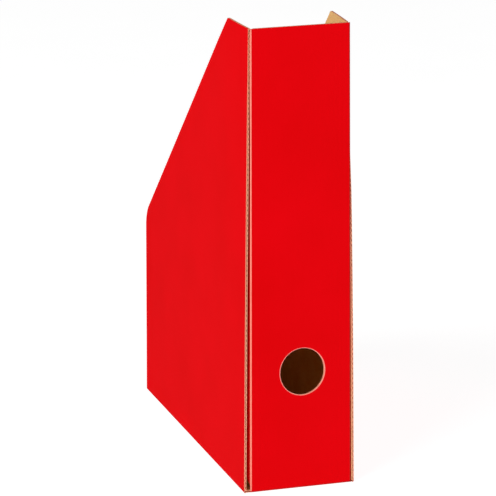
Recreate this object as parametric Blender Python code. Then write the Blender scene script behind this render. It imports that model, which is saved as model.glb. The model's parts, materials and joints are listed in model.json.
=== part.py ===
"""Magazine file folded from one blank of thin corrugated board.

The base stands on Z = 0 with its centre at the origin. The tall front panel
faces -Y, the width runs along X and the depth along Y. Each panel of the
blank is its own solid: a plate with 45 degree mitres along its creases. The
origin of every panel lies on the crease that it folds about.
"""

import math

import bmesh
import bpy
from mathutils import Matrix, Vector

# ---------------------------------------------------------------- sizes, in metres
BOARD_THICKNESS = 0.0015
BASE_WIDTH = 0.0772
CASE_DEPTH = 0.240
FRONT_HEIGHT = 0.315
BACK_HEIGHT = 0.1335
LEVEL_TOP_LENGTH = 0.0395

# The side panels stand clear of the front and back panels: most at the foot,
# least at the top, so they lean in a little. The front and back panels sit off
# the middle, so the left side panel has more clearance at its foot.
FOOT_CLEARANCE = 0.0017
TOP_CLEARANCE = 0.0004
END_PANEL_OFFSET = 0.0012
CREASE_GAP = 0.0003

FINGER_HOLE_WIDTH = 0.0312
FINGER_HOLE_HEIGHT = 0.0324
FINGER_HOLE_CENTRE_HEIGHT = 0.0812
FINGER_HOLE_OFFSET = 0.0022
FINGER_HOLE_SEGMENTS = 64

BACK_CORNER_RADIUS = 0.020
LEVEL_CORNER_RADIUS = 0.0015
CORNER_SEGMENTS = 10

FRONT_FLAP_LENGTH = 0.032
BACK_FLAP_LENGTH = 0.028
FLAP_FOOT_CLEARANCE = 0.004
FLAP_TOP_DROP = 0.006
FLAP_CORNER_RADIUS = 0.004
FLAP_FOOT_ANGLE = math.radians(45.0)
FLAP_TOP_ANGLE = math.radians(30.0)

# ---------------------------------------------------------------- derived sizes
PANEL_WIDTH = BASE_WIDTH - 2.0 * (BOARD_THICKNESS + FOOT_CLEARANCE)
CREASE_SETBACK = CREASE_GAP / math.sqrt(2.0)
CUTTER_MARGIN = 0.010

X_AXIS = Vector((1.0, 0.0, 0.0))
Y_AXIS = Vector((0.0, 1.0, 0.0))
Z_AXIS = Vector((0.0, 0.0, 1.0))

# ---------------------------------------------------------------- colours
OUTER_RED = (0.78, 0.005, 0.012, 1.0)
INNER_KRAFT = (0.60, 0.38, 0.20, 1.0)


def clear_scene():
    """Removes every object of the opening scene."""
    for obj in list(bpy.data.objects):
        bpy.data.objects.remove(obj, do_unlink=True)


def board_material(name, colour):
    """A matt printed-board surface."""
    material = bpy.data.materials.new(name)
    material.use_nodes = True
    shader = material.node_tree.nodes["Principled BSDF"]
    shader.inputs["Base Color"].default_value = colour
    shader.inputs["Roughness"].default_value = 0.55
    shader.inputs["Metallic"].default_value = 0.0
    material.diffuse_color = colour
    return material


def round_corners(bm, radii):
    """Rounds the listed corners of a flat outline, each with its own radius."""
    for (x, y), radius in radii:
        spot = Vector((x, y, 0.0))
        corner = min(bm.verts, key=lambda vert: (vert.co - spot).length)
        edges = [edge.other_vert(corner).co - corner.co for edge in corner.link_edges]
        half_angle = edges[0].angle(edges[1]) / 2.0
        bmesh.ops.bevel(
            bm,
            geom=[corner],
            offset=radius / math.tan(half_angle),
            offset_type="OFFSET",
            segments=CORNER_SEGMENTS,
            profile=0.5,
            affect="VERTICES",
            clamp_overlap=True,
        )


def mitre(bm, edge_point, edge_outward):
    """Cuts the plate along a crease, at 45 degrees through its thickness.

    edge_point lies on the crease line of the outer face and edge_outward
    points out of the plate across that line. The inner face ends up shorter.
    """
    outward = Vector((edge_outward[0], edge_outward[1], 0.0)).normalized()
    on_line = Vector((edge_point[0], edge_point[1], 0.0)) - outward * CREASE_SETBACK
    cut = bmesh.ops.bisect_plane(
        bm,
        geom=bm.verts[:] + bm.edges[:] + bm.faces[:],
        dist=1.0e-7,
        plane_co=on_line,
        plane_no=(outward + Z_AXIS).normalized(),
        clear_outer=True,
    )
    rim = [item for item in cut["geom_cut"] if isinstance(item, bmesh.types.BMEdge)]
    bmesh.ops.edgenet_fill(bm, edges=rim)


def plate(name, outline, radii, creases, colour):
    """A flat board panel with its outer face on local Z = 0.

    outline runs anticlockwise in local X and Y. The thickness goes towards
    +Z, which becomes the inside of the case.
    """
    bm = bmesh.new()
    corners = [bm.verts.new((x, y, 0.0)) for x, y in outline]
    bm.faces.new(corners)
    round_corners(bm, radii)
    grown = bmesh.ops.extrude_face_region(bm, geom=bm.faces[:])
    raised = [item for item in grown["geom"] if isinstance(item, bmesh.types.BMVert)]
    bmesh.ops.translate(bm, vec=Z_AXIS * BOARD_THICKNESS, verts=raised)
    for edge_point, edge_outward in creases:
        mitre(bm, edge_point, edge_outward)
    bmesh.ops.recalc_face_normals(bm, faces=bm.faces[:])
    mesh = bpy.data.meshes.new(name)
    bm.to_mesh(mesh)
    bm.free()
    panel = bpy.data.objects.new(name, mesh)
    panel.data.materials.append(board_material(name + "_board", colour))
    bpy.context.scene.collection.objects.link(panel)
    return panel


def place(panel, origin, right, up, parent=None):
    """Stands a panel up, with local X along right and local Y along up."""
    inward = right.cross(up)
    turn = Matrix((right, up, inward)).transposed()
    panel.rotation_euler = turn.to_euler()
    panel.location = origin
    bpy.context.view_layer.update()
    if parent is not None:
        panel.parent = parent
        panel.matrix_parent_inverse = parent.matrix_world.inverted()


def base_panel():
    """The floor of the case, creased along all four edges."""
    half_width = BASE_WIDTH / 2.0
    half_depth = CASE_DEPTH / 2.0
    outline = [
        (-half_width, -half_depth),
        (half_width, -half_depth),
        (half_width, half_depth),
        (-half_width, half_depth),
    ]
    creases = [
        ((-half_width, 0.0), (-1.0, 0.0)),
        ((half_width, 0.0), (1.0, 0.0)),
        ((0.0, -half_depth), (0.0, -1.0)),
        ((0.0, half_depth), (0.0, 1.0)),
    ]
    panel = plate("base_panel", outline, [], creases, OUTER_RED)
    place(panel, Vector((0.0, 0.0, 0.0)), X_AXIS, Y_AXIS)
    return panel


def side_panel(name, side, base):
    """A side wall: level at the top by the front, then sloping to the back.

    side is -1 for the left wall and 1 for the right one.
    """
    half_depth = CASE_DEPTH / 2.0
    front = side * half_depth
    back = -side * half_depth
    level_end = side * (half_depth - LEVEL_TOP_LENGTH)
    outline = [
        (back, 0.0),
        (front, 0.0),
        (front, FRONT_HEIGHT),
        (level_end, FRONT_HEIGHT),
        (back, BACK_HEIGHT),
    ]
    if side < 0:
        outline.reverse()
    radii = [
        ((level_end, FRONT_HEIGHT), LEVEL_CORNER_RADIUS),
        ((back, BACK_HEIGHT), BACK_CORNER_RADIUS),
    ]
    creases = [((0.0, 0.0), (0.0, -1.0))]
    panel = plate(name, outline, radii, creases, OUTER_RED)
    clearance = FOOT_CLEARANCE - side * END_PANEL_OFFSET
    lean = math.atan((clearance - TOP_CLEARANCE) / FRONT_HEIGHT)
    up = Vector((-side * math.sin(lean), 0.0, math.cos(lean)))
    place(panel, Vector((side * BASE_WIDTH / 2.0, 0.0, 0.0)), -side * Y_AXIS, up, base)
    return panel


def end_panel(name, end, height, base):
    """The tall front wall (end -1) or the low back wall (end 1)."""
    half_width = PANEL_WIDTH / 2.0
    outline = [
        (-half_width, 0.0),
        (half_width, 0.0),
        (half_width, height),
        (-half_width, height),
    ]
    creases = [
        ((0.0, 0.0), (0.0, -1.0)),
        ((-half_width, 0.0), (-1.0, 0.0)),
        ((half_width, 0.0), (1.0, 0.0)),
    ]
    panel = plate(name, outline, [], creases, OUTER_RED)
    origin = Vector((END_PANEL_OFFSET, end * CASE_DEPTH / 2.0, 0.0))
    place(panel, origin, end * X_AXIS, Z_AXIS, base)
    return panel


def cut_finger_hole(front):
    """Punches the finger hole through the front panel."""
    bpy.ops.mesh.primitive_cylinder_add(
        vertices=FINGER_HOLE_SEGMENTS,
        radius=0.5,
        depth=BOARD_THICKNESS + 2.0 * CUTTER_MARGIN,
    )
    punch = bpy.context.object
    punch.name = "finger_hole_punch"
    punch.scale = (FINGER_HOLE_WIDTH, FINGER_HOLE_HEIGHT, 1.0)
    punch.rotation_euler = (math.radians(90.0), 0.0, 0.0)
    punch.location = (
        FINGER_HOLE_OFFSET,
        -CASE_DEPTH / 2.0 + BOARD_THICKNESS / 2.0,
        FINGER_HOLE_CENTRE_HEIGHT,
    )
    punch.hide_render = True
    punch.display_type = "WIRE"
    hole = front.modifiers.new("finger_hole", "BOOLEAN")
    hole.operation = "DIFFERENCE"
    hole.solver = "EXACT"
    hole.object = punch


def flap(name, side, end, length, wall_height, wall):
    """A flap folded back from the side edge of the front or back panel.

    It lies along the inside of the side wall. Its foot and its top slant
    away, so that it can turn out together with the side wall.
    """
    foot = FLAP_FOOT_CLEARANCE
    top = wall_height - FLAP_TOP_DROP
    foot_rise = length * math.tan(FLAP_FOOT_ANGLE)
    top_fall = length * math.tan(FLAP_TOP_ANGLE)
    turn = side * -end
    outline = [
        (turn * foot, 0.0),
        (turn * (foot + foot_rise), length),
        (turn * (top - top_fall), length),
        (turn * top, 0.0),
    ]
    if turn > 0:
        outline.reverse()
    radii = [
        ((turn * (foot + foot_rise), length), FLAP_CORNER_RADIUS),
        ((turn * (top - top_fall), length), FLAP_CORNER_RADIUS),
    ]
    creases = [((0.0, 0.0), (0.0, -1.0))]
    panel = plate(name, outline, radii, creases, INNER_KRAFT)
    fold_x = END_PANEL_OFFSET + side * PANEL_WIDTH / 2.0
    origin = Vector((fold_x, end * CASE_DEPTH / 2.0, 0.0))
    place(panel, origin, turn * Z_AXIS, -end * Y_AXIS, wall)
    return panel


def build():
    """Makes the base, the four walls and the four flaps."""
    clear_scene()
    base = base_panel()
    side_panel("left_side_panel", -1, base)
    side_panel("right_side_panel", 1, base)
    front = end_panel("front_panel", -1, FRONT_HEIGHT, base)
    back = end_panel("back_panel", 1, BACK_HEIGHT, base)
    cut_finger_hole(front)
    for side, label in ((-1, "left"), (1, "right")):
        flap("front_" + label + "_flap", side, -1, FRONT_FLAP_LENGTH, FRONT_HEIGHT, front)
        flap("back_" + label + "_flap", side, 1, BACK_FLAP_LENGTH, BACK_HEIGHT, back)


build()
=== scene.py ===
"""Looks of the corrugated board magazine file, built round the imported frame.

Every panel of the folded blank is made as the board really is: a red faced
outer liner, a fluted medium and a plain kraft inner liner. Bent strips of the
outer liner cross each crease. All sizes are metres in the frame's own axes:
+Z up, the tall front towards -Y.
"""

import json
import math

import bmesh
import bpy
from mathutils import Matrix, Vector


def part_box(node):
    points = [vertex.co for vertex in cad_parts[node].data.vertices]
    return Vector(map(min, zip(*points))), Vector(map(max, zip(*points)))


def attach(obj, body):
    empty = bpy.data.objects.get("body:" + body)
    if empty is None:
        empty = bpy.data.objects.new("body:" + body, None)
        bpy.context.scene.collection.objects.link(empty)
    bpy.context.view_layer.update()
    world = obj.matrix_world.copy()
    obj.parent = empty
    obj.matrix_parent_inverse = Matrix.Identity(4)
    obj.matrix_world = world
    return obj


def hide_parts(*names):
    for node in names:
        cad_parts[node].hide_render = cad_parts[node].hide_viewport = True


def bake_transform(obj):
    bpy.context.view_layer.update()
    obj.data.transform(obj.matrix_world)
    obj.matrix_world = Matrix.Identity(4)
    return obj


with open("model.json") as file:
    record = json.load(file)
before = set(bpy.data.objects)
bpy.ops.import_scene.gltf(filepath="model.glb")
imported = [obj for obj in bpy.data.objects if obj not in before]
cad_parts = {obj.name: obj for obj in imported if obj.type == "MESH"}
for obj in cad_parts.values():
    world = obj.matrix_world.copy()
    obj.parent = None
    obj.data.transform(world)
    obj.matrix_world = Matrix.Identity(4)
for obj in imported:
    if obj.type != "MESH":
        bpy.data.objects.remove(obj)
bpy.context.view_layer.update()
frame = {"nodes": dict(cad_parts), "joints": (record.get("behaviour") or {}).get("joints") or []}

# ------------------------------------------------------------ board construction
# The papers are drawn about twice as thick as real ones, so that the flutes
# show at the cut edges.
LINER_THICKNESS = 0.00034
MEDIUM_THICKNESS = 0.00030
FLUTE_PITCH = 0.0034
FLUTE_STEPS = 12
GLUE_BITE = 0.00003
CHIPPED_RING = 0.0004

# ------------------------------------------------------------ patterns, per metre
GRAIN_SCALE = 900.0
CLOUD_SCALE = 22.0
FIBRE_SCALE = 700.0
MOTTLE_SCALE = 45.0
CRACK_SCALE = 260.0
CARD_GRAIN_SCALE = 8.0

# ------------------------------------------------------------ creases
BASE_BEND_RADIUS = 0.0010
WALL_BEND_RADIUS = 0.0010
BEND_STEPS = 8
CREASE_GAP = 0.00012
TRIM_MARGIN = 0.004
FOLD_RINGS_PER_STATION = 4
# The cosines from which a face counts as a panel's outer one, a liner's face
# counts as flat and not as an edge, and flutes count as upright.
OUTER_FACE_COSINE = 0.9
LINER_FACE_COSINE = 0.7
UPRIGHT_COSINE = 0.5

# ------------------------------------------------------------ set of the folded board
# All the amounts at the top are at the front's full height, and fade to
# nothing at the foot. The shares are of the front's height.
# The tall front is drawn in at its top, and the side panels with it.
PINCH_AT_TOP = {"left": 0.0009, "right": 0.0018}
PINCH_REACH = 0.060
# Behind the front's fold each side panel leans in a little further.
LEAN_AT_TOP = {"left": 0.0013, "right": 0.0018}
LEAN_ONSET = (0.0003, 0.0022)
# The right side panel's top corner is also tucked in behind the fold.
TUCK_AT_TOP = 0.0006
TUCK_FOOT = 0.60
TUCK_HEAD = 0.86
# The side panels' front edges stand back a little to clear the fold.
SETBACK_AT_TOP = {"left": 0.0020, "right": 0.0030}
SETBACK_REACH = 0.030
# The long left side panel bows out a little between the front and the back.
BOW_AT_TOP = 0.0006
# Each flap slants out from its fold, part of the way to its side panel. It
# moves less than its own thickness, so it still lies flat when it is folded out.
FLAP_SLANT_SHARE = 0.45
FLAP_SLANT_LENGTH = 0.007
# Where the meshes are cut across so that they can bend: behind the front and the
# back, and upwards.
DEPTH_STATIONS = (0.0012, 0.0022, 0.0032, 0.0045, 0.008, 0.014, 0.022, 0.032, 0.045, 0.060)
HEIGHT_STATION = 0.0225

# ------------------------------------------------------------ view
CAMERA_LENS = 251.5
CAMERA_DISTANCE = 2.39
CAMERA_AZIMUTH = math.radians(-17.225)
CAMERA_ELEVATION = math.radians(15.372)
CAMERA_ROLL = math.radians(-0.208)
AIM_POINT = Vector((0.0007, -0.0039, 0.1359))

# ------------------------------------------------------------ light and floor
SOFTBOX_SIZE = 1.8
SOFTBOX_AIM = (0.0, 0.0, 0.15)
SOFTBOX_LEFT = {"place": (-2.2, -1.3, 1.6), "power": 63.0}
SOFTBOX_RIGHT = {"place": (1.7, -2.4, 1.7), "power": 31.5}
SURROUND_STRENGTH = 0.03
FLOOR_GLOW = 0.91
FLOOR_REACH = 4.0

X_AXIS = Vector((1.0, 0.0, 0.0))
Y_AXIS = Vector((0.0, 1.0, 0.0))
Z_AXIS = Vector((0.0, 0.0, 1.0))

# ------------------------------------------------------------ the frame's own sizes
JOINTS = {joint["name"]: joint for joint in frame["joints"]}
HALF_WIDTH = abs(JOINTS["left_side_crease"]["pos_m"][0])
HALF_DEPTH = abs(JOINTS["front_crease"]["pos_m"][1])
FRONT_Y = -HALF_DEPTH
PANEL_LEFT = JOINTS["front_left_flap_crease"]["pos_m"][0]
PANEL_RIGHT = JOINTS["front_right_flap_crease"]["pos_m"][0]
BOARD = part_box("base_panel")[1].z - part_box("base_panel")[0].z
FRONT_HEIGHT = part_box("front_panel")[1].z
BACK_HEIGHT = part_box("back_panel")[1].z


# ================================================================ materials
def linear(hex_colour):
    """An sRGB hex colour as a linear RGBA tuple."""
    channels = [int(hex_colour[i : i + 2], 16) / 255.0 for i in (1, 3, 5)]
    flat = [c / 12.92 if c <= 0.04045 else ((c + 0.055) / 1.055) ** 2.4 for c in channels]
    return (*flat, 1.0)


def add_node(tree, kind, settings=None, values=None, links=None):
    """Adds one node, sets its properties and input values and links its inputs."""
    node = tree.nodes.new(kind)
    for name, value in (settings or {}).items():
        setattr(node, name, value)
    for name, value in (values or {}).items():
        node.inputs[name].default_value = value
    for name, source in (links or {}).items():
        tree.links.new(source, node.inputs[name])
    return node


def new_material(name):
    """An empty node material with its output node."""
    material = bpy.data.materials.new(name)
    material.use_nodes = True
    tree = material.node_tree
    tree.nodes.clear()
    output = tree.nodes.new("ShaderNodeOutputMaterial")
    return material, tree, output


def ramp(tree, source, stops, interpolation="LINEAR"):
    """A colour ramp through the given (position, colour) stops."""
    node = add_node(tree, "ShaderNodeValToRGB", links={"Fac": source})
    node.color_ramp.interpolation = interpolation
    elements = node.color_ramp.elements
    while len(elements) < len(stops):
        elements.new(0.5)
    for element, (position, colour) in zip(elements, stops):
        element.position = position
        element.color = colour
    return node


def red_liner(name, flute_axis, hole=None):
    """White-top liner printed solid red, with a matt varnish: even, clean colour.

    The varnish leaves almost no sheen. The flutes behind the liner show as a
    very shallow washboard, whose ridges repeat along flute_axis at their pitch.
    hole is the lowest and highest corner of a punched hole, round which the
    print is chipped and the paper whitened by the die.
    """
    material, tree, output = new_material(name)
    place = add_node(tree, "ShaderNodeTexCoord").outputs["Object"]
    grain = add_node(
        tree,
        "ShaderNodeTexNoise",
        values={"Scale": GRAIN_SCALE, "Detail": 4.0, "Roughness": 0.6},
        links={"Vector": place},
    )
    cloud = add_node(
        tree,
        "ShaderNodeTexNoise",
        values={"Scale": CLOUD_SCALE, "Detail": 3.0, "Roughness": 0.5},
        links={"Vector": place},
    )
    tone = add_node(
        tree,
        "ShaderNodeMath",
        settings={"operation": "MULTIPLY_ADD"},
        values={1: 0.35},
        links={0: grain.outputs["Fac"], 2: cloud.outputs["Fac"]},
    )
    colour = ramp(tree, tone.outputs[0], [(0.30, linear("#DA0409")), (1.05, linear("#E4040E"))])
    painted = colour.outputs["Color"]
    if hole:
        painted = chipped_round_hole(tree, place, grain.outputs["Fac"], painted, hole)
    # The wave texture's bands repeat every pi / (10 * scale) metres.
    band_scale = math.pi / (10.0 * FLUTE_PITCH)
    washboard = add_node(
        tree,
        "ShaderNodeTexWave",
        settings={"wave_type": "BANDS", "bands_direction": flute_axis, "wave_profile": "SIN"},
        values={"Scale": band_scale, "Distortion": 0.0},
        links={"Vector": place},
    )
    ridges = add_node(
        tree,
        "ShaderNodeBump",
        values={"Strength": 0.45, "Distance": 0.00004},
        links={"Height": washboard.outputs["Fac"]},
    )
    fibres = add_node(
        tree,
        "ShaderNodeBump",
        values={"Strength": 0.25, "Distance": 0.00003},
        links={"Height": grain.outputs["Fac"], "Normal": ridges.outputs["Normal"]},
    )
    shader = add_node(
        tree,
        "ShaderNodeBsdfPrincipled",
        values={"Roughness": 0.75, "IOR": 1.47, "Specular IOR Level": 0.01},
        links={"Base Color": painted, "Normal": fibres.outputs["Normal"]},
    )
    tree.links.new(shader.outputs["BSDF"], output.inputs["Surface"])
    return material


def chipped_round_hole(tree, place, grain, painted, hole):
    """Whitens the print in a thin ring, CHIPPED_RING wide, round a punched hole."""
    low, high = hole
    centre = (low + high) / 2.0
    reach_x = (high.x - low.x) / 2.0
    reach_z = (high.z - low.z) / 2.0
    centred = add_node(
        tree,
        "ShaderNodeMapping",
        values={
            "Location": (-centre.x / reach_x, 0.0, -centre.z / reach_z),
            "Scale": (1.0 / reach_x, 0.0, 1.0 / reach_z),
        },
        links={"Vector": place},
    )
    radius = add_node(
        tree,
        "ShaderNodeVectorMath",
        settings={"operation": "LENGTH"},
        links={0: centred.outputs["Vector"]},
    )
    ragged = add_node(
        tree,
        "ShaderNodeMath",
        settings={"operation": "MULTIPLY_ADD"},
        values={1: 0.02},
        links={0: grain, 2: radius.outputs["Value"]},
    )
    ring = add_node(
        tree,
        "ShaderNodeMapRange",
        values={
            "From Min": 1.01 + 0.5 * CHIPPED_RING / reach_x,
            "From Max": 1.01 + CHIPPED_RING / reach_x,
            "To Min": 1.0,
            "To Max": 0.0,
        },
        links={"Value": ragged.outputs[0]},
    )
    mixed = add_node(
        tree,
        "ShaderNodeMix",
        settings={"data_type": "RGBA"},
        values={"B": linear("#FF9C90")},
        links={"Factor": ring.outputs["Result"], "A": painted},
    )
    return mixed.outputs["Result"]


def kraft(name, pale, deep, fibre_axis_scale, roughness=0.85):
    """Unbleached kraft paper: warm tan, mottled, with long darker fibres.

    fibre_axis_scale stretches the fibre pattern along the paper's machine
    direction. Real fibres are 1 to 3 mm long. They are drawn at about twice
    that size, so that they show.
    """
    material, tree, output = new_material(name)
    place = add_node(tree, "ShaderNodeTexCoord").outputs["Object"]
    stretched = add_node(
        tree,
        "ShaderNodeMapping",
        values={"Scale": fibre_axis_scale},
        links={"Vector": place},
    )
    fibres = add_node(
        tree,
        "ShaderNodeTexNoise",
        values={"Scale": FIBRE_SCALE, "Detail": 5.0, "Roughness": 0.65},
        links={"Vector": stretched.outputs["Vector"]},
    )
    mottle = add_node(
        tree,
        "ShaderNodeTexNoise",
        values={"Scale": MOTTLE_SCALE, "Detail": 4.0, "Roughness": 0.6},
        links={"Vector": place},
    )
    tone = add_node(
        tree,
        "ShaderNodeMath",
        settings={"operation": "MULTIPLY_ADD"},
        values={1: 0.7},
        links={0: fibres.outputs["Fac"], 2: mottle.outputs["Fac"]},
    )
    colour = ramp(tree, tone.outputs[0], [(0.55, linear(deep)), (1.0, linear(pale))])
    rough = add_node(
        tree,
        "ShaderNodeBump",
        values={"Strength": 0.35, "Distance": 0.00005},
        links={"Height": fibres.outputs["Fac"]},
    )
    shader = add_node(
        tree,
        "ShaderNodeBsdfPrincipled",
        values={"Roughness": roughness, "IOR": 1.5, "Specular IOR Level": 0.15},
        links={"Base Color": colour.outputs["Color"], "Normal": rough.outputs["Normal"]},
    )
    tree.links.new(shader.outputs["BSDF"], output.inputs["Surface"])
    return material


def folded_red_liner(name, red, whitening_and_highlight):
    """Red varnished liner stretched round a fold, where the print whitens.

    The attribute "fold" runs from 0 to 1 across the bend. whitening_and_highlight
    is how much pale shows along its middle: paper whitened through the stretched
    print, and on the front-left flap fold also a painted highlight. red is the
    base colour, which on the other folds is a darker red as painted shade.
    """
    material, tree, output = new_material(name)
    place = add_node(tree, "ShaderNodeTexCoord").outputs["Object"]
    across = add_node(tree, "ShaderNodeAttribute", settings={"attribute_name": "fold"})
    cracks = add_node(
        tree,
        "ShaderNodeTexNoise",
        values={"Scale": CRACK_SCALE, "Detail": 3.0, "Roughness": 0.6},
        links={"Vector": place},
    )
    band = ramp(
        tree,
        across.outputs["Fac"],
        [
            (0.0, (0.3, 0.3, 0.3, 1.0)),
            (0.12, (1.0, 1.0, 1.0, 1.0)),
            (0.88, (1.0, 1.0, 1.0, 1.0)),
            (1.0, (0.3, 0.3, 0.3, 1.0)),
        ],
    )
    patchy = add_node(
        tree,
        "ShaderNodeMapRange",
        values={"From Min": 0.3, "From Max": 0.7, "To Min": 0.8 * whitening_and_highlight, "To Max": whitening_and_highlight},
        links={"Value": cracks.outputs["Fac"]},
    )
    amount = add_node(
        tree,
        "ShaderNodeMath",
        settings={"operation": "MULTIPLY"},
        links={0: band.outputs["Color"], 1: patchy.outputs["Result"]},
    )
    # The pale colour mixed in is whitened paper and, where the amount is large, a painted
    # highlight.
    colour = add_node(
        tree,
        "ShaderNodeMix",
        settings={"data_type": "RGBA"},
        values={"A": linear(red), "B": linear("#FFA08C")},
        links={"Factor": amount.outputs[0]},
    )
    shader = add_node(
        tree,
        "ShaderNodeBsdfPrincipled",
        values={"Roughness": 0.5, "IOR": 1.47, "Specular IOR Level": 0.06},
        links={"Base Color": colour.outputs["Result"]},
    )
    tree.links.new(shader.outputs["BSDF"], output.inputs["Surface"])
    return material


def finger_hole():
    """The lowest and highest corner of the hole punched through the front."""
    low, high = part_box("front_panel")
    margin = 0.002
    rim = [
        vert.co
        for vert in frame["nodes"]["front_panel"].data.vertices
        if low.x + margin < vert.co.x < high.x - margin and vert.co.z < high.z - margin
        and vert.co.z > low.z + margin
    ]
    lowest = Vector(min(point[axis] for point in rim) for axis in range(3))
    highest = Vector(max(point[axis] for point in rim) for axis in range(3))
    return lowest, highest


def make_materials():
    """Every finish of the file, by the part of the board that it is on."""
    along_depth = (1.0, 0.25, 1.0)
    upright = (1.0, 1.0, 0.25)
    return {
        "red_along_depth": red_liner("red_varnished_liner_flutes_along_depth", "Z"),
        "red_upright": red_liner("red_varnished_liner_flutes_upright", "X"),
        "red_front": red_liner("red_varnished_liner_round_hole", "X", finger_hole()),
        "kraft_along_depth": kraft("kraft_liner_along_depth", "#FFD08C", "#F4B86E", along_depth),
        "kraft_upright": kraft("kraft_liner_upright", "#FFD08C", "#F4B86E", upright),
        # The medium's dark red-brown is partly the darker medium paper and partly painted shade of
        # the flute hollows, darkened and reddened.
        "medium": kraft("semi_chemical_fluting_medium_with_painted_shade", "#C4543A", "#A0402A", upright, 0.9),
        "cut_edge": kraft("cut_edge_of_paper_liner", "#FFB48E", "#FFA280", upright, 0.9),
        # Front-left flap fold: print whitened at the stretch, with a pale band that is also a
        # painted highlight of the light from the left.
        "fold_whitened_and_highlit": folded_red_liner("red_liner_whitened_with_painted_highlight_at_fold", "#DD000A", 0.85),
        # The other folds: a darker red than the panels, which is painted shade along the creases,
        # with only a trace of whitening.
        "fold_darkened_as_painted_shade": folded_red_liner("red_liner_darkened_as_painted_shade_at_fold", "#B40006", 0.05),
    }


# ================================================================ mesh helpers
def smooth(low, high, value):
    """Rises smoothly from 0 at low to 1 at high."""
    share = min(1.0, max(0.0, (value - low) / (high - low)))
    return share * share * (3.0 - 2.0 * share)


def hand_of(place):
    """Which hand of the file a point is on, as seen from the front."""
    return "right" if place.x > 0.0 else "left"


def lean_in(hand, height):
    """How far a side panel leans in at a share of the front's height."""
    lean = LEAN_AT_TOP[hand] * height
    if hand == "right":
        lean += TUCK_AT_TOP * smooth(TUCK_FOOT, TUCK_HEAD, height)
    return lean


def pinch(point):
    """Draws a point in towards the middle, most at the top of the front.

    The shift is a share of the point's own x, so what lies between the side
    panels keeps clear of them.
    """
    hand = hand_of(point)
    behind = point.y - FRONT_Y
    height = point.z / FRONT_HEIGHT
    fading = max(0.0, 1.0 - behind / PINCH_REACH) ** 2
    inward = PINCH_AT_TOP[hand] * height * fading
    lean = lean_in(hand, height) * smooth(*LEAN_ONSET, behind)
    if hand == "left":
        lean *= fading
        inward -= BOW_AT_TOP * height * height * (1.0 - fading)
    return Vector((point.x * (1.0 - (inward + lean) / PANEL_RIGHT), point.y, point.z))


def stand_back(point):
    """Sets a point of a side panel back behind the front's fold."""
    hand = hand_of(point)
    share = lean_in(hand, point.z / FRONT_HEIGHT) / lean_in(hand, 1.0)
    near = max(0.0, 1.0 - (point.y - FRONT_Y) / SETBACK_REACH)
    return Vector((point.x, point.y + SETBACK_AT_TOP[hand] * share * near, point.z))


def slant_out(point):
    """Slants a point of a flap out from its fold towards its side panel."""
    hand = hand_of(point)
    fold, side = (PANEL_RIGHT, 1.0) if hand == "right" else (PANEL_LEFT, -1.0)
    low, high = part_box(hand + "_side_panel")
    top_lean = high.x - low.x - BOARD
    inner_face = side * (HALF_WIDTH - BOARD - top_lean * point.z / FRONT_HEIGHT)
    share = FLAP_SLANT_SHARE * smooth(0.0, FLAP_SLANT_LENGTH, HALF_DEPTH - abs(point.y))
    return Vector((point.x + (inner_face - fold) * share, point.y, point.z))


def slice_at_stations(bm):
    """Cuts the mesh across where the pinch bends it, without opening it."""
    at_the_back = min(vert.co.y for vert in bm.verts) > 0.0
    end = -1.0 if at_the_back else 1.0
    cuts = [(Vector((0.0, end * (FRONT_Y + station), 0.0)), Y_AXIS) for station in DEPTH_STATIONS]
    highest = max(vert.co.z for vert in bm.verts)
    for station in range(1, int(highest / HEIGHT_STATION) + 1):
        cuts.append((Vector((0.0, 0.0, station * HEIGHT_STATION)), Z_AXIS))
    for point, normal in cuts:
        bmesh.ops.bisect_plane(
            bm,
            geom=bm.verts[:] + bm.edges[:] + bm.faces[:],
            dist=1.0e-6,
            plane_co=point,
            plane_no=normal,
        )


def trim(bm, point, outward):
    """Cuts away what lies beyond a plane and closes the cut."""
    cut = bmesh.ops.bisect_plane(
        bm,
        geom=bm.verts[:] + bm.edges[:] + bm.faces[:],
        dist=1.0e-7,
        plane_co=point,
        plane_no=outward,
        clear_outer=True,
    )
    rim = [item for item in cut["geom_cut"] if isinstance(item, bmesh.types.BMEdge)]
    bmesh.ops.edgenet_fill(bm, edges=rim)


def object_from(bm, name, materials):
    """A linked object that takes over the mesh."""
    mesh = bpy.data.meshes.new(name)
    bm.to_mesh(mesh)
    bm.free()
    obj = bpy.data.objects.new(name, mesh)
    for material in materials:
        mesh.materials.append(material)
    bpy.context.scene.collection.objects.link(obj)
    return obj


def applied_mesh(obj):
    """A plain mesh of the object with its modifiers worked out."""
    bpy.context.view_layer.update()
    graph = bpy.context.evaluated_depsgraph_get()
    return bpy.data.meshes.new_from_object(obj.evaluated_get(graph))


def discard(obj):
    """Removes a helper object and its mesh."""
    mesh = obj.data
    bpy.data.objects.remove(obj, do_unlink=True)
    bpy.data.meshes.remove(mesh)


# ================================================================ board
class Crease:
    """A crease line of the blank, as one of its two panels sees it."""

    def __init__(self, point, outward, bend_radius):
        self.point = Vector(point)
        self.outward = Vector(outward)
        self.bend_radius = bend_radius


class Panel:
    """One panel of the blank: its frame node and how it stands and is creased."""

    def __init__(self, node, inward, flutes, creases):
        self.node = node
        self.inward = Vector(inward)
        self.flutes = Vector(flutes)
        self.creases = creases
        self.name = node.replace("_panel", "") + "_board"


def outer_sheet(panel):
    """The flat outline of a panel's outer face, as an open sheet.

    It also sets the panel's true inward direction, because side panels lean.
    """
    bm = bmesh.new()
    bm.from_mesh(frame["nodes"][panel.node].data)
    bmesh.ops.remove_doubles(bm, verts=bm.verts[:], dist=1.0e-6)
    facing_out = [face for face in bm.faces if face.normal.dot(panel.inward) < -OUTER_FACE_COSINE]
    outermost = max(facing_out, key=lambda face: face.calc_area())
    across_board = outermost.normal.copy()
    level = outermost.verts[0].co.dot(across_board)
    others = [
        face
        for face in bm.faces
        if any(abs(vert.co.dot(across_board) - level) > 1.0e-5 for vert in face.verts)
    ]
    bmesh.ops.delete(bm, geom=others, context="FACES")
    panel.inward = -across_board
    return bm


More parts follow.
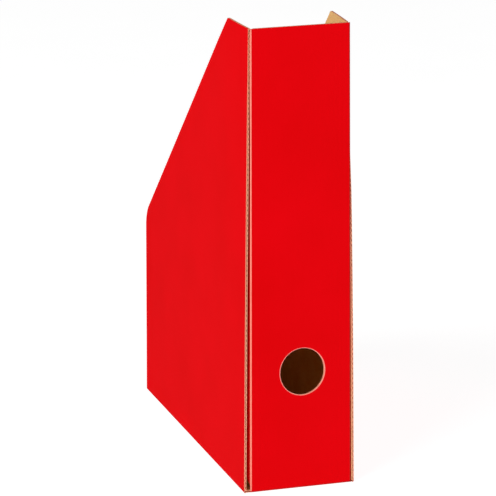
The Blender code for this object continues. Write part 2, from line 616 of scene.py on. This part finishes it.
def slab(panel, low, high, crease_distance):
    """The panel's outline as a closed plate between two depths in the board.

    crease_distance gives, for a crease, how far the plate stops short of it.
    """
    bm = outer_sheet(panel)
    bmesh.ops.translate(bm, vec=panel.inward * low, verts=bm.verts[:])
    grown = bmesh.ops.extrude_face_region(bm, geom=bm.faces[:])
    raised = [item for item in grown["geom"] if isinstance(item, bmesh.types.BMVert)]
    bmesh.ops.translate(bm, vec=panel.inward * (high - low), verts=raised)
    for crease in panel.creases:
        trim(bm, crease.point - crease.outward * crease_distance(crease), crease.outward)
    bmesh.ops.recalc_face_normals(bm, faces=bm.faces[:])
    return bm


def fluted_medium_tree():
    """The node tree that repeats one flute of the medium side by side."""
    tree = bpy.data.node_groups.new("fluted_medium", "GeometryNodeTree")
    face = tree.interface
    face.new_socket("Geometry", in_out="INPUT", socket_type="NodeSocketGeometry")
    face.new_socket("Flutes", in_out="INPUT", socket_type="NodeSocketInt")
    face.new_socket("Pitch", in_out="INPUT", socket_type="NodeSocketFloat")
    face.new_socket("Rise", in_out="INPUT", socket_type="NodeSocketFloat")
    face.new_socket("Length", in_out="INPUT", socket_type="NodeSocketFloat")
    face.new_socket("Paper", in_out="INPUT", socket_type="NodeSocketMaterial")
    face.new_socket("Geometry", in_out="OUTPUT", socket_type="NodeSocketGeometry")
    given = add_node(tree, "NodeGroupInput").outputs
    flute = add_node(
        tree,
        "GeometryNodeMeshGrid",
        values={"Vertices X": FLUTE_STEPS + 1, "Vertices Y": 2},
        links={"Size X": given["Pitch"], "Size Y": given["Length"]},
    )
    place = add_node(tree, "GeometryNodeInputPosition")
    split = add_node(tree, "ShaderNodeSeparateXYZ", links={"Vector": place.outputs[0]})
    phase = add_node(
        tree,
        "ShaderNodeMath",
        settings={"operation": "DIVIDE"},
        links={0: split.outputs["X"], 1: given["Pitch"]},
    )
    angle = add_node(
        tree,
        "ShaderNodeMath",
        settings={"operation": "MULTIPLY"},
        values={1: math.tau},
        links={0: phase.outputs[0]},
    )
    wave = add_node(
        tree, "ShaderNodeMath", settings={"operation": "COSINE"}, links={0: angle.outputs[0]}
    )
    lift = add_node(
        tree,
        "ShaderNodeMath",
        settings={"operation": "MULTIPLY"},
        links={0: wave.outputs[0], 1: given["Rise"]},
    )
    offset = add_node(tree, "ShaderNodeCombineXYZ", links={"Z": lift.outputs[0]})
    bent = add_node(
        tree,
        "GeometryNodeSetPosition",
        links={"Geometry": flute.outputs["Mesh"], "Offset": offset.outputs[0]},
    )
    step = add_node(tree, "ShaderNodeCombineXYZ", links={"X": given["Pitch"]})
    row = add_node(
        tree,
        "GeometryNodeMeshLine",
        links={"Count": given["Flutes"], "Offset": step.outputs[0]},
    )
    flutes = add_node(
        tree,
        "GeometryNodeInstanceOnPoints",
        links={"Points": row.outputs["Mesh"], "Instance": bent.outputs["Geometry"]},
    )
    joined = add_node(
        tree, "GeometryNodeRealizeInstances", links={"Geometry": flutes.outputs[0]}
    )
    merged = add_node(
        tree,
        "GeometryNodeMergeByDistance",
        values={"Distance": 1.0e-6},
        links={"Geometry": joined.outputs[0]},
    )
    finished = add_node(
        tree,
        "GeometryNodeSetMaterial",
        links={"Geometry": merged.outputs[0], "Material": given["Paper"]},
    )
    add_node(tree, "NodeGroupOutput", links={"Geometry": finished.outputs[0]})
    return tree


def fluted_sheet(tree, flutes, length, paper):
    """A flat stretch of medium: flutes side by side along X, their length along Y."""
    holder = bpy.data.objects.new("fluted_sheet", bpy.data.meshes.new("no_mesh"))
    bpy.context.scene.collection.objects.link(holder)
    repeat = holder.modifiers.new("flutes", "NODES")
    repeat.node_group = tree
    socket = {
        item.name: item.identifier
        for item in tree.interface.items_tree
        if item.in_out == "INPUT"
    }
    repeat[socket["Flutes"]] = flutes
    repeat[socket["Pitch"]] = FLUTE_PITCH
    repeat[socket["Rise"]] = (BOARD - MEDIUM_THICKNESS) / 2.0 - LINER_THICKNESS + GLUE_BITE
    repeat[socket["Length"]] = length
    repeat[socket["Paper"]] = paper
    wall = holder.modifiers.new("paper_thickness", "SOLIDIFY")
    wall.thickness = MEDIUM_THICKNESS
    wall.offset = 0.0
    mesh = applied_mesh(holder)
    discard(holder)
    return mesh


def medium_mesh(panel, tree, paper, cut_paper):
    """The panel's fluted medium, trimmed to the panel's own outline.

    Slot 0 is the medium's own surface and slot 1 its cut edges.
    """
    low = LINER_THICKNESS / 2.0
    outline = slab(panel, low, BOARD - low, lambda crease: BOARD)
    across = panel.flutes.cross(panel.inward).normalized()
    along = panel.inward.cross(across)
    reach_across = [vert.co.dot(across) for vert in outline.verts]
    reach_along = [vert.co.dot(along) for vert in outline.verts]
    outer_level = min(vert.co.dot(panel.inward) for vert in outline.verts) - low
    width = max(reach_across) - min(reach_across)
    length = max(reach_along) - min(reach_along)
    flutes = int(width / FLUTE_PITCH) + 3
    sheet = fluted_sheet(tree, flutes, length + 2.0 * TRIM_MARGIN, paper)
    start = across * (min(reach_across) - FLUTE_PITCH)
    middle = along * (min(reach_along) + length / 2.0)
    depth = panel.inward * (outer_level + BOARD / 2.0)
    turn = Matrix((across, along, panel.inward)).transposed().to_4x4()
    sheet.transform(Matrix.Translation(start + middle + depth) @ turn)
    strip = bpy.data.objects.new("medium", sheet)
    sheet.materials.append(cut_paper)
    bpy.context.scene.collection.objects.link(strip)
    for face in outline.faces:
        face.material_index = 1
    cutter = object_from(outline, "medium_outline", [paper, cut_paper])
    keep = strip.modifiers.new("outline", "BOOLEAN")
    keep.operation = "INTERSECT"
    keep.solver = "EXACT"
    keep.object = cutter
    mesh = applied_mesh(strip)
    discard(strip)
    discard(cutter)
    return mesh


def add_layer(board, layer, slot_of):
    """Joins one layer to the board's mesh, with a material slot for each face."""
    slice_at_stations(layer)
    for face in layer.faces:
        face.material_index = slot_of(face)
    mesh = bpy.data.meshes.new("layer")
    layer.to_mesh(mesh)
    layer.free()
    board.from_mesh(mesh)
    bpy.data.meshes.remove(mesh)


def make_board(panel, tree, finishes):
    """One panel's board: outer liner, fluted medium and inner liner in one mesh."""
    printed, plain, medium, cut_edge = range(4)
    board = bmesh.new()
    outer = slab(panel, 0.0, LINER_THICKNESS, lambda crease: crease.bend_radius)
    inner = slab(panel, BOARD - LINER_THICKNESS, BOARD, lambda crease: BOARD + CREASE_GAP)
    facing = panel.inward.copy()

    def liner_slot(face, shown, sign):
        """The shown face keeps its own finish and the other one faces the flutes."""
        turned = sign * face.normal.dot(facing)
        if turned > LINER_FACE_COSINE:
            return shown
        return medium if turned < -LINER_FACE_COSINE else cut_edge

    add_layer(board, outer, lambda face: liner_slot(face, printed, -1.0))
    add_layer(board, inner, lambda face: liner_slot(face, plain, 1.0))
    fluting = medium_mesh(panel, tree, finishes["medium"], finishes["cut_edge"])
    waves = bmesh.new()
    waves.from_mesh(fluting)
    bpy.data.meshes.remove(fluting)
    add_layer(board, waves, lambda face: cut_edge if face.material_index else medium)
    for vert in board.verts:
        place = vert.co
        if "side_panel" in panel.node:
            place = stand_back(place)
        elif "flap" in panel.node:
            place = slant_out(place)
        vert.co = pinch(place)
    upright = abs(panel.flutes.z) > UPRIGHT_COSINE
    if panel.node == "front_panel":
        red = finishes["red_front"]
    else:
        red = finishes["red_upright" if upright else "red_along_depth"]
    kraft_face = finishes["kraft_upright" if upright else "kraft_along_depth"]
    slots = [red, kraft_face, finishes["medium"], finishes["cut_edge"]]
    piece = object_from(board, panel.name, slots)
    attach(piece, panel.node)
    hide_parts(panel.node)
    return piece


# ================================================================ folds
def make_fold(name, line, away, radius, finishes):
    """The outer liner where it bends round a crease.

    line holds the two ends of the crease, and away the directions in which
    the two panels lead away from it, along their outer faces. finishes holds
    the finish of the printed side and that of the unprinted one.
    """
    finish, unprinted = finishes
    first, last = (Vector(point) for point in line)
    out_a, out_b = (Vector(direction) for direction in away)
    stations = max(2, int((last - first).length / HEIGHT_STATION) * FOLD_RINGS_PER_STATION)
    bm = bmesh.new()
    across = bm.verts.layers.float.new("fold")
    rings = []
    for station in range(stations + 1):
        corner = first.lerp(last, station / stations)
        centre = corner + (out_a + out_b) * radius
        ring = []
        for reach, order in ((radius, 1), (radius - LINER_THICKNESS, -1)):
            arc = []
            for step in range(BEND_STEPS + 1):
                turn = math.radians(90.0) * step / BEND_STEPS
                spoke = out_b * math.cos(turn) + out_a * math.sin(turn)
                vert = bm.verts.new(pinch(centre - spoke * reach))
                vert[across] = step / BEND_STEPS
                arc.append(vert)
            ring += arc[::order]
        rings.append(ring)
    count = len(rings[0])
    for ring, following in zip(rings, rings[1:]):
        for index in range(count):
            after = (index + 1) % count
            face = bm.faces.new((ring[index], ring[after], following[after], following[index]))
            face.material_index = 0 if index < BEND_STEPS else 1
    bm.faces.new(rings[0])
    bm.faces.new(rings[-1][::-1])
    bmesh.ops.recalc_face_normals(bm, faces=bm.faces[:])
    for face in bm.faces:
        face.smooth = len(face.verts) == 4
    piece = object_from(bm, name, [finish, unprinted])
    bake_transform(piece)
    return piece


def make_folds(finishes):
    """The four folds at the base and the four that the flaps turn on."""
    # clean holds the darker red finish of painted shade, used on every fold but the front-left
    # flap fold.
    clean = (finishes["fold_darkened_as_painted_shade"], finishes["cut_edge"])
    whitening_and_highlight = (finishes["fold_whitened_and_highlit"], finishes["cut_edge"])
    side_run = HALF_DEPTH - CREASE_GAP
    for side, label in ((-1.0, "left"), (1.0, "right")):
        x = side * HALF_WIDTH
        make_fold(
            label + "_side_fold",
            ((x, -side_run, 0.0), (x, side_run, 0.0)),
            ((-side, 0.0, 0.0), (0.0, 0.0, 1.0)),
            BASE_BEND_RADIUS,
            clean,
        )
    for end, label, height in ((-1.0, "front", FRONT_HEIGHT), (1.0, "back", BACK_HEIGHT)):
        y = end * HALF_DEPTH
        make_fold(
            label + "_fold",
            ((PANEL_LEFT, y, 0.0), (PANEL_RIGHT, y, 0.0)),
            ((0.0, -end, 0.0), (0.0, 0.0, 1.0)),
            BASE_BEND_RADIUS,
            clean,
        )
        for side, hand, x in ((-1.0, "left", PANEL_LEFT), (1.0, "right", PANEL_RIGHT)):
            make_fold(
                label + "_" + hand + "_flap_fold",
                ((x, y, BASE_BEND_RADIUS), (x, y, height)),
                ((-side, 0.0, 0.0), (0.0, -end, 0.0)),
                WALL_BEND_RADIUS,
                # Only the front-left flap fold, which faces the light on the left, gets the pale
                # band of painted highlight; the other folds get the darker red of painted shade.
                whitening_and_highlight if (side, end) == (-1.0, -1.0) else clean,
            )


def panels():
    """The nine panels of the blank, with their flute directions and creases."""
    base_creases = [
        Crease((-HALF_WIDTH, 0.0, 0.0), -X_AXIS, BASE_BEND_RADIUS),
        Crease((HALF_WIDTH, 0.0, 0.0), X_AXIS, BASE_BEND_RADIUS),
        Crease((0.0, -HALF_DEPTH, 0.0), -Y_AXIS, BASE_BEND_RADIUS),
        Crease((0.0, HALF_DEPTH, 0.0), Y_AXIS, BASE_BEND_RADIUS),
    ]
    found = [Panel("base_panel", Z_AXIS, Y_AXIS, base_creases)]
    foot = Crease((0.0, 0.0, 0.0), -Z_AXIS, BASE_BEND_RADIUS)
    for side, hand in ((-1.0, "left"), (1.0, "right")):
        found.append(Panel(hand + "_side_panel", -side * X_AXIS, Y_AXIS, [foot]))
    for end, label in ((-1.0, "front"), (1.0, "back")):
        y = end * HALF_DEPTH
        folds = [
            foot,
            Crease((PANEL_LEFT, y, 0.0), -X_AXIS, WALL_BEND_RADIUS),
            Crease((PANEL_RIGHT, y, 0.0), X_AXIS, WALL_BEND_RADIUS),
        ]
        found.append(Panel(label + "_panel", -end * Y_AXIS, Z_AXIS, folds))
        for side, hand in ((-1.0, "left"), (1.0, "right")):
            fold = Crease((0.0, y, 0.0), end * Y_AXIS, WALL_BEND_RADIUS)
            node = label + "_" + hand + "_flap"
            found.append(Panel(node, -side * X_AXIS, Z_AXIS, [fold]))
    return found


# ================================================================ stage
def make_floor():
    """A wide plain floor of matt white card."""
    bm = bmesh.new()
    corners = [
        bm.verts.new((x * FLOOR_REACH, y * FLOOR_REACH, 0.0))
        for x, y in ((-1.0, -1.0), (1.0, -1.0), (1.0, 1.0), (-1.0, 1.0))
    ]
    bm.faces.new(corners)
    floor = object_from(bm, "studio_floor", [white_card()])


def white_card():
    """Matt white card for the floor, lit through from behind, with a faint grain."""
    material, tree, output = new_material("white_floor_card")
    place = add_node(tree, "ShaderNodeTexCoord").outputs["Object"]
    grain = add_node(
        tree,
        "ShaderNodeTexNoise",
        values={"Scale": CARD_GRAIN_SCALE},
        links={"Vector": place},
    )
    colour = ramp(tree, grain.outputs["Fac"], [(0.3, linear("#9C9C9C")), (0.7, linear("#A2A2A2"))])
    shader = add_node(
        tree,
        "ShaderNodeBsdfPrincipled",
        values={
            "Roughness": 0.9,
            "Specular IOR Level": 0.1,
            "Emission Color": (1.0, 1.0, 1.0, 1.0),
            "Emission Strength": FLOOR_GLOW,
        },
        links={"Base Color": colour.outputs["Color"]},
    )
    tree.links.new(shader.outputs["BSDF"], output.inputs["Surface"])
    return material


def add_softbox(name, place, power):
    """A square area light aimed at the file."""
    light = bpy.data.lights.new(name, "AREA")
    light.shape = "SQUARE"
    light.size = SOFTBOX_SIZE
    light.energy = power
    lamp = bpy.data.objects.new(name, light)
    lamp.location = place
    lamp.rotation_euler = (Vector(SOFTBOX_AIM) - Vector(place)).to_track_quat("-Z", "Y").to_euler()
    bpy.context.scene.collection.objects.link(lamp)


def light_stage():
    """Soft, even studio light from the front, and a pale surround."""
    world = bpy.data.worlds.new("studio_surround")
    world.use_nodes = True
    surround = world.node_tree.nodes["Background"]
    surround.inputs["Color"].default_value = (1.0, 1.0, 1.0, 1.0)
    surround.inputs["Strength"].default_value = SURROUND_STRENGTH
    bpy.context.scene.world = world
    add_softbox("softbox_left", **SOFTBOX_LEFT)
    add_softbox("softbox_right", **SOFTBOX_RIGHT)
    bpy.context.scene.view_settings.view_transform = "Standard"


def add_camera():
    """A long lens, a little above the file and to the left of its front."""
    camera = bpy.data.cameras.new("studio_camera")
    camera.lens = CAMERA_LENS
    camera.clip_end = 20.0
    holder = bpy.data.objects.new("studio_camera", camera)
    level = math.cos(CAMERA_ELEVATION)
    back = Vector(
        (
            math.sin(CAMERA_AZIMUTH) * level,
            -math.cos(CAMERA_AZIMUTH) * level,
            math.sin(CAMERA_ELEVATION),
        )
    )
    holder.location = AIM_POINT + back * CAMERA_DISTANCE
    turn = Matrix.Rotation(CAMERA_AZIMUTH, 3, "Z")
    tilt = Matrix.Rotation(math.radians(90.0) - CAMERA_ELEVATION, 3, "X")
    roll = Matrix.Rotation(CAMERA_ROLL, 3, "Z")
    holder.rotation_euler = (turn @ tilt @ roll).to_euler()
    bpy.context.scene.collection.objects.link(holder)
    bpy.context.scene.camera = holder


finishes = make_materials()
medium_tree = fluted_medium_tree()
for panel in panels():
    make_board(panel, medium_tree, finishes)
make_folds(finishes)
make_floor()
light_stage()
add_camera()
